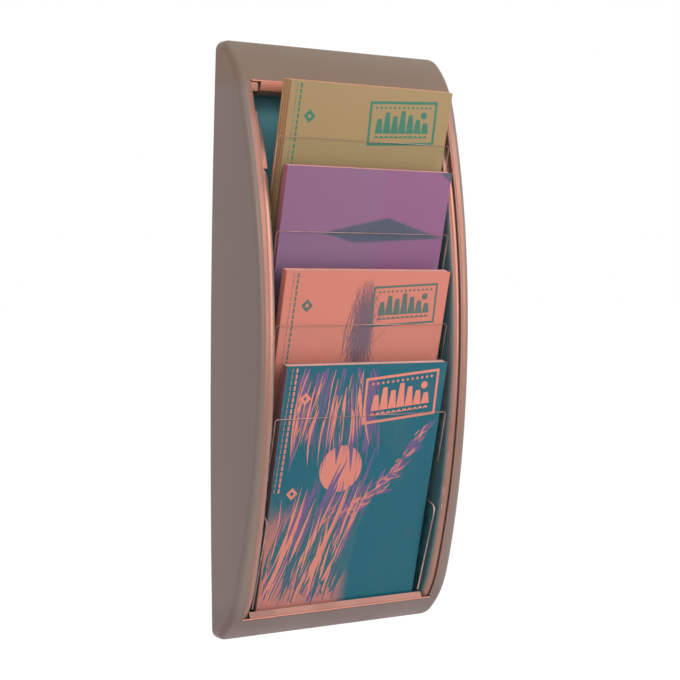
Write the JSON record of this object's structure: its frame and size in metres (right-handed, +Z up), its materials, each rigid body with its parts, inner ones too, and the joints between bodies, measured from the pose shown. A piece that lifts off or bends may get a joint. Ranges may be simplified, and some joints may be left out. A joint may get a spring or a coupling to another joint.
{
  "type": "wall brochure holder",
  "caption": "Wall-mounted literature holder: a bowed satin frame carries clear forward-tilted pockets in steps, each with a brochure that slides up and out.",
  "frame": {"origin": "centre of the four wall screw holes, on the plane of the wall", "axes": "+X to the right when facing the holder, +Y into the wall, so the front faces -Y, +Z up"},
  "size_m": [0.2894, 0.0964, 0.648],
  "materials": {
    "housing": "satin warm grey with a metallic sheen, moulded in",
    "rail": "satin warm grey with a metallic sheen, moulded in",
    "dark_panel": "matt, dark blue green, almost black in the shade",
    "screw_steel": "zinc plated",
    "clear_sheet": "clear, glossy",
    "cover_ochre": "coated paper, ochre",
    "cover_mauve": "coated paper, mauve",
    "cover_salmon": "coated paper, pale salmon",
    "cover_teal": "coated paper, dark teal with salmon streaks",
    "paper": "uncoated paper, pale salmon"
  },
  "bodies": {
    "holder": {"outer_shell": "housing", "back_panel": "dark_panel", "right_rail": "rail", "left_rail": "rail", "hood_screws": "screw_steel", "base_screws": "screw_steel", "right_rail_screws": "screw_steel", "left_rail_screws": "screw_steel", "pocket_1": "clear_sheet", "pocket_2": "clear_sheet", "pocket_3": "clear_sheet", "pocket_4": "clear_sheet"},
    "brochure_1": {"brochure_1_cover": "cover_ochre", "brochure_1_pages": "paper"},
    "brochure_2": {"brochure_2_cover": "cover_mauve", "brochure_2_pages": "paper"},
    "brochure_3": {"brochure_3_cover": "cover_salmon", "brochure_3_pages": "paper"},
    "brochure_4": {"brochure_4_cover": "cover_teal", "brochure_4_pages": "paper"}
  },
  "joints": [
    {"name": "brochure_1_slide", "type": "slide", "parent": "holder", "child": "brochure_1", "axis": [0, -0.2334, 0.9724], "range_m": [0, 0.24]},
    {"name": "brochure_2_slide", "type": "slide", "parent": "holder", "child": "brochure_2", "axis": [0, -0.2334, 0.9724], "range_m": [0, 0.24]},
    {"name": "brochure_3_slide", "type": "slide", "parent": "holder", "child": "brochure_3", "axis": [0, -0.2334, 0.9724], "range_m": [0, 0.24]},
    {"name": "brochure_4_slide", "type": "slide", "parent": "holder", "child": "brochure_4", "axis": [0, -0.2334, 0.9724], "range_m": [0, 0.24]}
  ]
}
